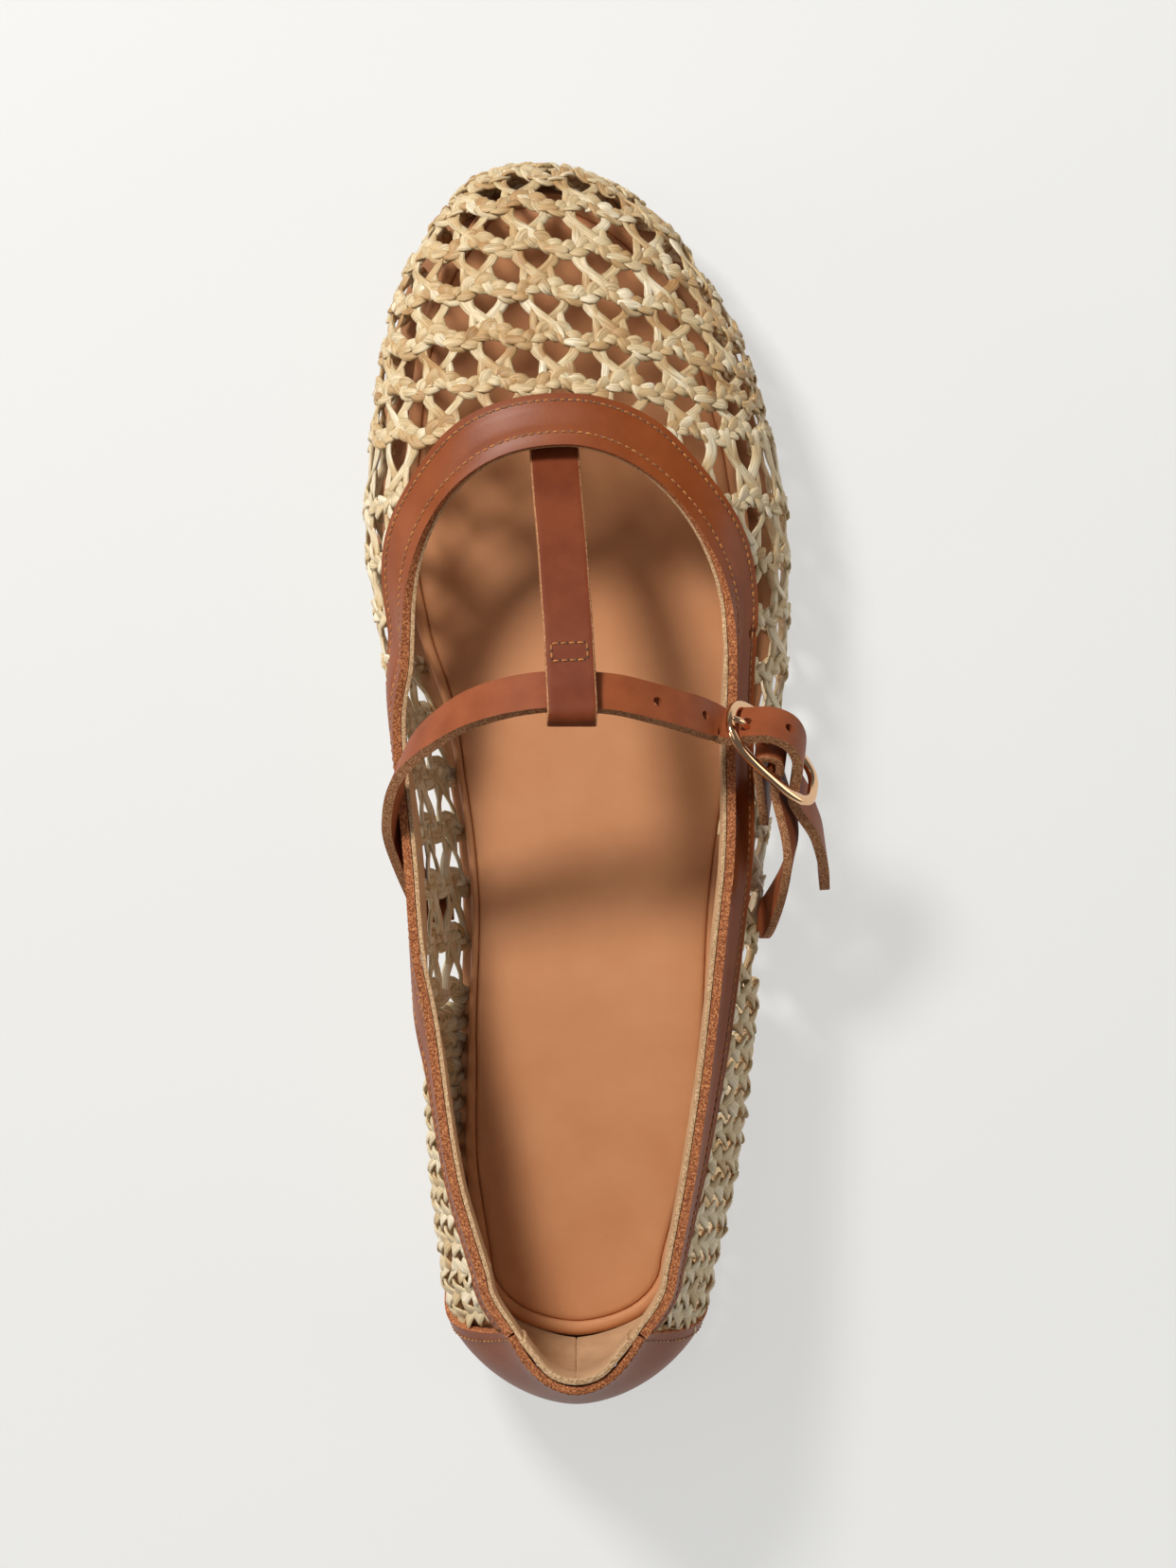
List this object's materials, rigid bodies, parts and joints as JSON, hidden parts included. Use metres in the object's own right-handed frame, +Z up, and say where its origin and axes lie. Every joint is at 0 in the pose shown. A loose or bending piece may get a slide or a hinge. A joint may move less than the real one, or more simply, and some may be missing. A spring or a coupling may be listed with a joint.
{
  "type": "ballet flat",
  "caption": "Right raffia ballet flat: open lattice upper with leather topline, heel counter, T-strap and a buckled instep strap, on a low-heeled leather sole.",
  "frame": {"origin": "middle of the shoe's box, on the floor under the sole", "axes": "+Y towards the toe, +X towards the outer side with the buckle, +Z up"},
  "size_m": [0.092, 0.2484, 0.0701],
  "materials": {
    "sole_leather": "smooth waxed edge",
    "footbed_leather": "smooth satin",
    "raffia": "plaited straw-coloured raffia",
    "cognac_leather": "smooth, slightly glossy",
    "strap_leather": "smooth with raw cut edges",
    "pale_gold": "polished"
  },
  "bodies": {
    "root": {"outsole": "sole_leather", "insole": "footbed_leather", "upper": "raffia", "topline_band": "cognac_leather", "heel_counter": "cognac_leather", "t_strap": "strap_leather", "instep_strap": "strap_leather", "buckle_strap": "strap_leather", "buckle_frame": "pale_gold", "buckle_bar": "pale_gold", "buckle_prong": "pale_gold"}
  },
  "joints": []
}
